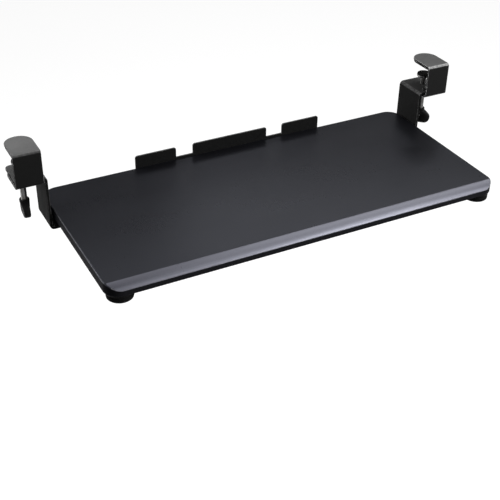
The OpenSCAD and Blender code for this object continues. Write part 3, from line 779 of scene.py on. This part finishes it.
def fit_hanger_bolts():
    """Button-headed bolts with a hexagon socket and a threaded end."""
    head, shank, root, head_height, pitch = 4.75 * MM, 2.5 * MM, 2.05 * MM, 2.75 * MM, 0.8 * MM
    socket, socket_floor, threaded, overlap = hexagon(3 * MM), 0.9 * MM, 5 * MM, 0.5 * MM
    work = bmesh.new()
    for low, high in solid_boxes("hanger_bolts"):
        centre = (low + high) / 2
        place, seat, shank_end = lift(centre.x, centre.y, 0), high.z - head_height, low.z + threaded
        floor_z = seat + socket_floor
        dome = [
            (2.3 * MM, high.z), (3.2 * MM, high.z - 0.35 * MM), (4.1 * MM, high.z - 1.1 * MM),
            (4.6 * MM, seat + 0.9 * MM), (head, seat + 0.4 * MM), (head, seat)]
        spin(work, [
            (0, floor_z), (socket, floor_z + 0.1 * MM), (socket, high.z - 0.1 * MM), *dome,
            (shank, seat), (shank, shank_end), (0, shank_end)], place)
        thread(work, place, shank, root, pitch, low.z, shank_end + overlap)
    to_piece("hanger_bolts", work, BLACK_OXIDE, smooth=32.0)


def turn_clamp_screws():
    """Threaded rods with a smooth tip and a rivet head that holds the pressure disc."""
    crest, root, pitch, overlap = 5.0 * MM, 4.1 * MM, 1.5 * MM, 1 * MM
    tip, tip_length, rivet, rivet_height = 3.5 * MM, 3.0 * MM, 4.8 * MM, 1.6 * MM
    for side in SIDES:
        low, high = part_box(f"{side}_clamp_screw")
        centre = (low + high) / 2
        place, neck = lift(centre.x, centre.y, 0), high.z - rivet_height
        shoulder = neck - tip_length
        work = bmesh.new()
        thread(work, place, crest, root, pitch, low.z, shoulder)
        spin(work, [
            (0, shoulder - overlap), (tip, shoulder - overlap), (tip, neck), (rivet, neck),
            (rivet, neck + 0.7 * MM), (4.2 * MM, neck + 1.3 * MM), (2.9 * MM, high.z), (0, high.z)], place)
        to_piece(f"{side}_clamp_screw", work, ZINC_PLATE, smooth=50.0)


def turn_pressure_discs():
    """Swivel discs with a rolled edge, and their ringed rubber faces."""
    bore, hub, recess, recess_depth, steps = 3.55 * MM, 7 * MM, 5.1 * MM, 2.2 * MM, 64
    ring_middles = (10.4 * MM, 7.8 * MM, 5.2 * MM)
    for side in SIDES:
        low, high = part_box(f"{side}_pressure_disc")
        centre, radius = (low + high) / 2, (high.x - low.x) / 2
        place, recess_floor = lift(centre.x, centre.y, 0), high.z - recess_depth
        rolled = [
            (hub + 0.6 * MM, low.z + 0.6 * MM), (radius - 2 * MM, low.z + 1.0 * MM),
            (radius - 0.6 * MM, low.z + 1.5 * MM), (radius, low.z + 2.2 * MM)]
        work = bmesh.new()
        spin(work, [
            (bore, low.z), (hub, low.z), *rolled, *rounded(radius, high.z, 0.5 * MM),
            (recess, high.z), (recess, recess_floor), (bore, recess_floor)], place, steps, bored=True)
        to_piece(f"{side}_pressure_disc", work, ZINC_PLATE, smooth=50.0)
        low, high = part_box(f"{side}_disc_face")
        radius = (high.x - low.x) / 2
        rings = grooves(ring_middles, 0.6 * MM, 0.4 * MM, high.z, -0.5 * MM)
        work = bmesh.new()
        spin(work, [
            (0, low.z), (radius, low.z), *rounded(radius, high.z, 0.4 * MM), *rings, (0, high.z)],
            place, steps)
        to_piece(f"{side}_disc_face", work, SOFT_RUBBER)


def paddle_rings():
    """Rings of a teardrop thumb paddle, from its round hub down to its broad rim, with dished sides."""
    hub, neck, half_thick, height, levels = 8 * MM, 8 * MM, 5.75 * MM, 29 * MM, 44
    corner, corner_r, edge_r, lip = Vector((9 * MM, 19 * MM)), 10 * MM, 3 * MM, 1.0 * MM
    hub_to_plate, roundness, squareness = (3 * MM, 13 * MM), 2, 3.5
    dish_depth, dish_width, dish_top, dish_foot = 0.2, 0.72, (9 * MM, 15 * MM), (2 * MM, 7 * MM)

    flank = corner - Vector((0, neck))
    lean = (corner_r - hub) / flank.length
    along = flank.normalized()
    outward = Vector((along.y, -along.x)) * math.sqrt(1 - lean ** 2) - along * lean
    flank_top = Vector((0, neck)) + outward * hub
    flank_foot = corner + outward * corner_r
    slope = (flank_foot.x - flank_top.x) / (flank_foot.y - flank_top.y)

    def half_width(d):
        if d < flank_foot.y:
            return max(hub, flank_top.x + slope * (d - flank_top.y))
        return corner.x + math.sqrt(max(corner_r ** 2 - (d - corner.y) ** 2, 0.0))

    def smooth(d, start, end):
        t = min(1.0, max(0.0, (d - start) / (end - start)))
        return t * t * (3 - 2 * t)

    rings = [(0, 0), (hub - lip, 0), (hub - 0.3 * lip, -0.3 * lip)]
    for i in range(levels + 1):
        d = lip + (height - lip) * (1 - math.cos(math.pi * i / levels)) / 2
        plate = smooth(d, *hub_to_plate)
        left_over = height - d
        rim = 1.0 if left_over > edge_r else math.sqrt(max(1 - (1 - left_over / edge_r) ** 2, 0.0))
        thick = (hub * (1 - plate) + half_thick * plate) * (0.5 + 0.5 * rim)
        wide, power = half_width(d), roundness + squareness * plate
        dish = dish_depth * smooth(d, *dish_top) * smooth(left_over, *dish_foot)

        def outline(angle, wide=wide, thick=thick, power=power, dish=dish):
            c, s = math.cos(angle), math.sin(angle)
            r = (abs(c / wide) ** power + abs(s / thick) ** power) ** (-1 / power)
            across = r * c / wide
            hollow = dish * max(0.0, 1 - (across / dish_width) ** 2) ** 2
            return r * (1 - hollow * abs(s))
        rings.append((outline, -d))
    return [*rings, (0, -height)]


def mould_paddles():
    """Thumb paddles, each turned as it stands and bored for its rod."""
    bore, socket_depth, lead_in, steps, bore_steps = 5.05 * MM, 15.5 * MM, 0.8 * MM, 72, 32
    for side, turn in (("left", 85.0), ("right", -45.0)):
        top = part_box(f"{side}_paddle")[1].z
        rod_low, rod_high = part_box(f"{side}_clamp_screw")
        axis = (rod_low + rod_high) / 2
        place = lift(axis.x, axis.y, top) @ Matrix.Rotation(math.radians(turn), 4, "Z")
        work = bmesh.new()
        spin(work, paddle_rings(), place, steps)
        paddle = to_piece(f"{side}_paddle", work, MOULDED_BLACK, smooth=45.0)
        cut = bmesh.new()
        spin(cut, [
            (0, -socket_depth), (bore, -socket_depth), (bore, -lead_in),
            (bore + 1.5 * lead_in, 0.5 * lead_in), (0, 0.5 * lead_in)], place, bore_steps)
        carve(paddle, cut)


# Carriages

def turn_rollers():
    """Nylon rollers with a crowned tread and a recessed web."""
    bore, hub, web, edge, crown = 1.55 * MM, 2.3 * MM, 0.5 * MM, 0.5 * MM, 0.12 * MM
    for side in SIDES:
        for axle in ("front", "rear"):
            for bank in ("inner", "outer"):
                node = f"{side}_{axle}_{bank}_roller"
                low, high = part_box(node)
                centre, radius, half = (low + high) / 2, (high.z - low.z) / 2, (high.x - low.x) / 2
                face = [
                    (bore, half), (hub, half), (hub + 0.2 * MM, half - web), (radius - 1.1 * MM, half - web),
                    (radius - 0.9 * MM, half), (radius - edge, half), (radius - crown, half - edge)]
                tread = [(radius, -half / 3), (radius, half / 3)]
                work = bmesh.new()
                spin(work, [*[(r, -z) for r, z in face], *tread, *reversed(face)],
                     Matrix.Translation(centre) @ ALONG_X, bored=True)
                to_piece(node, work, NATURAL_NYLON, smooth=35.0)


def rivet_axles():
    """Axles of the rollers, riveted over at both ends."""
    shank, head, head_height = 1.5 * MM, 2.4 * MM, 0.8 * MM
    work = bmesh.new()
    for low, high in solid_boxes("roller_axles"):
        half = (high.x - low.x) / 2
        end = [
            (shank, half - head_height), (head, half - head_height), (head, half - 0.5 * MM),
            (head - 0.4 * MM, half - 0.15 * MM), (head - 1.2 * MM, half)]
        spin(work, [(0, -half), *[(r, -z) for r, z in reversed(end)], *end, (0, half)],
             Matrix.Translation((low + high) / 2) @ ALONG_X)
    to_piece("roller_axles", work, ZINC_PLATE)


def drive_carriage_screws():
    """Countersunk screws, flush with the underside of the hangers' feet."""
    head, head_edge, shank, cone = 4.0 * MM, 0.15 * MM, 2.0 * MM, 2.2 * MM
    point, tip, recess_floor = 1 * MM, 1.4 * MM, 1.1 * MM
    floor_slot, mouth_slot = cross_slot(1.4 * MM, 0.4 * MM), cross_slot(2.2 * MM, 0.6 * MM)
    work = bmesh.new()
    for low, high in solid_boxes("carriage_screws"):
        centre, length = (low + high) / 2, high.z - low.z
        spin(work, [
            (0, recess_floor), (floor_slot, recess_floor - 0.1 * MM), (mouth_slot, 0), (head - head_edge, 0),
            (head, head_edge), (shank, cone), (shank, length - point), (tip, length), (0, length)],
            lift(centre.x, centre.y, low.z))
    to_piece("carriage_screws", work, BLACK_OXIDE)


lay_board()
fold_steelwork()
mould_small_blocks()
drive_tray_screws()
turn_feet()
rib_jaw_pads()
fit_nuts()
fit_hanger_bolts()
turn_clamp_screws()
turn_pressure_discs()
mould_paddles()
turn_rollers()
rivet_axles()
drive_carriage_screws()


# Studio

def set_camera():
    """Camera at the reference view's angle, in metres and degrees."""
    stand = (-0.68477, -1.29789, 0.70605)
    heading, pitch, roll = (math.radians(a) for a in (27.93, 33.81, 0.99))
    level = math.cos(pitch)
    ahead = Vector((math.sin(heading) * level, math.cos(heading) * level, -math.sin(pitch)))
    right = Vector((math.cos(heading), -math.sin(heading), 0))
    up = right.cross(ahead)
    turned_right = right * math.cos(roll) + up * math.sin(roll)
    turned_up = up * math.cos(roll) - right * math.sin(roll)
    lens = bpy.data.cameras.new("camera")
    lens.lens, lens.sensor_width = 71.39, 36.0
    lens.clip_start, lens.clip_end = 0.05, 100.0
    camera = bpy.data.objects.new("camera", lens)
    bpy.context.scene.collection.objects.link(camera)
    facing = Matrix((turned_right, turned_up, -ahead)).transposed().to_4x4()
    camera.matrix_world = lift(*stand) @ facing
    bpy.context.scene.camera = camera


def glow_material(name, build):
    """Material of the studio, whose surface comes from a rule."""
    made = bpy.data.materials.new(name)
    made.use_nodes = True
    made.node_tree.nodes.clear()
    out = made.node_tree.nodes.new("ShaderNodeOutputMaterial")
    made.node_tree.links.new(build(made.node_tree), out.inputs["Surface"])
    return made


def stage_sheet(name, rows, finish):
    """Sheet of the studio, skinned between rows of points."""
    work = bmesh.new()
    loops = [[work.verts.new(p) for p in row] for row in rows]
    for low, high in zip(loops, loops[1:]):
        for a, b, c, d in zip(low, low[1:], high[1:], high):
            work.faces.new((a, b, c, d))
    mesh = bpy.data.meshes.new(name)
    work.to_mesh(mesh)
    work.free()
    mesh.shade_smooth()
    mesh.materials.append(finish)
    sheet = bpy.data.objects.new(name, mesh)
    bpy.context.scene.collection.objects.link(sheet)


def white_ground(tree):
    """Pale floor that reads as white, keeps the shadow, and can be looked through from below."""
    matt_shade, glow_level = grey(0.2), 0.9
    matt = put(tree, "BsdfDiffuse", {"Color": matt_shade}).outputs[0]
    ray = put(tree, "LightPath").outputs
    seen = reckon(tree, "MAXIMUM", ray["Is Camera Ray"], reckon(
        tree, "MAXIMUM", ray["Is Glossy Ray"], ray["Is Transmission Ray"]))
    strength = reckon(tree, "MULTIPLY", seen, glow_level)
    glow = put(tree, "Emission", {"Color": grey(1.0), "Strength": strength}).outputs[0]
    lit = put(tree, "AddShader", {0: matt, 1: glow}).outputs[0]
    clear = put(tree, "BsdfTransparent").outputs[0]
    under = put(tree, "NewGeometry").outputs["Backfacing"]
    return put(tree, "MixShader", {0: under, 1: lit, 2: clear}).outputs[0]


def lay_ground():
    """Round floor with a swept-up rim, well below the part."""
    level, pinhole, inner, flat, sweep = -0.62, 0.0005, 2.0, 6.0, 2.5
    turns, sweep_steps = 96, 12
    rings = [(pinhole, level), (inner, level), (flat, level)]
    for i in range(1, sweep_steps + 1):
        bend = math.radians(90 * i / sweep_steps)
        rings.append((flat + sweep * math.sin(bend), level + sweep * (1 - math.cos(bend))))
    angles = [-2 * math.pi * i / turns for i in range(turns + 1)]
    rows = [[(r * math.cos(a), r * math.sin(a), z) for a in angles] for r, z in rings]
    stage_sheet("ground", rows, glow_material("white ground", white_ground))


def light_panel(tree):
    """Overhead panel, brighter towards the right."""
    x = put(tree, "SeparateXYZ", {0: put(tree, "TexCoord").outputs["Object"]}).outputs["X"]
    strength = spread(tree, x, low=-1.0, high=3.5, start=0.35, end=1.1)
    return put(tree, "Emission", {"Color": grey(1.0), "Strength": strength}).outputs[0]


def hang_lights():
    """Overhead panel and softboxes. A lamp that isn't mirrored leaves no reflection on the part."""
    near, far, half, level = -0.8, 1.9, 3.0, 2.6
    rows = [[(-half, y, level), (half, y, level)] for y in (near, far)]
    stage_sheet("light_panel", rows, glow_material("light panel", light_panel))
    for name, spot, aim, size, power, mirrored in (
            ("key softbox", (0.75, -0.35, 1.25), (0.1, -0.1, -0.1), (1.4, 1.0), 17.5, True),
            ("front softbox", (0.90, -1.05, 1.25), (0.1, -0.2, -0.1), (1.0, 0.6), 23.5, True),
            ("left rear card", (0.05, 1.1, 1.05), (-0.2, -0.2, -0.1), (0.8, 0.4), 1.0, True),
            ("right rear card", (1.0, 1.1, 1.05), (0.2, -0.2, -0.1), (1.2, 0.4), 2.1, True),
            ("clamp card", (-0.50, 0.50, 0.40), (-0.4, 0.0, 0.1), (0.45, 0.45), 9.0, False),
            ("edge card", (-1.0, 0.80, 0.40), (-0.34, -0.1, -0.1), (0.8, 0.8), 4.8, True),
            ("left fill", (-1.7, -0.3, 0.5), (0.0, -0.1, -0.1), (0.8, 0.8), 0.6, True)):
        lamp = bpy.data.lights.new(name, "AREA")
        lamp.shape, lamp.size, lamp.size_y, lamp.energy = "RECTANGLE", *size, power
        holder = bpy.data.objects.new(name, lamp)
        bpy.context.scene.collection.objects.link(holder)
        holder.location = spot
        holder.rotation_euler = (Vector(aim) - Vector(spot)).to_track_quat("-Z", "Y").to_euler()
        holder.visible_camera, holder.visible_glossy = False, mirrored


def fill_world():
    """Faint even light from all round."""
    faint = grey(0.03)
    world = bpy.data.worlds.new("studio")
    bpy.context.scene.world = world
    world.use_nodes = True
    world.node_tree.nodes["Background"].inputs["Color"].default_value = faint


set_camera()
lay_ground()
hang_lights()
fill_world()
bpy.context.scene.view_settings.view_transform = "Standard"
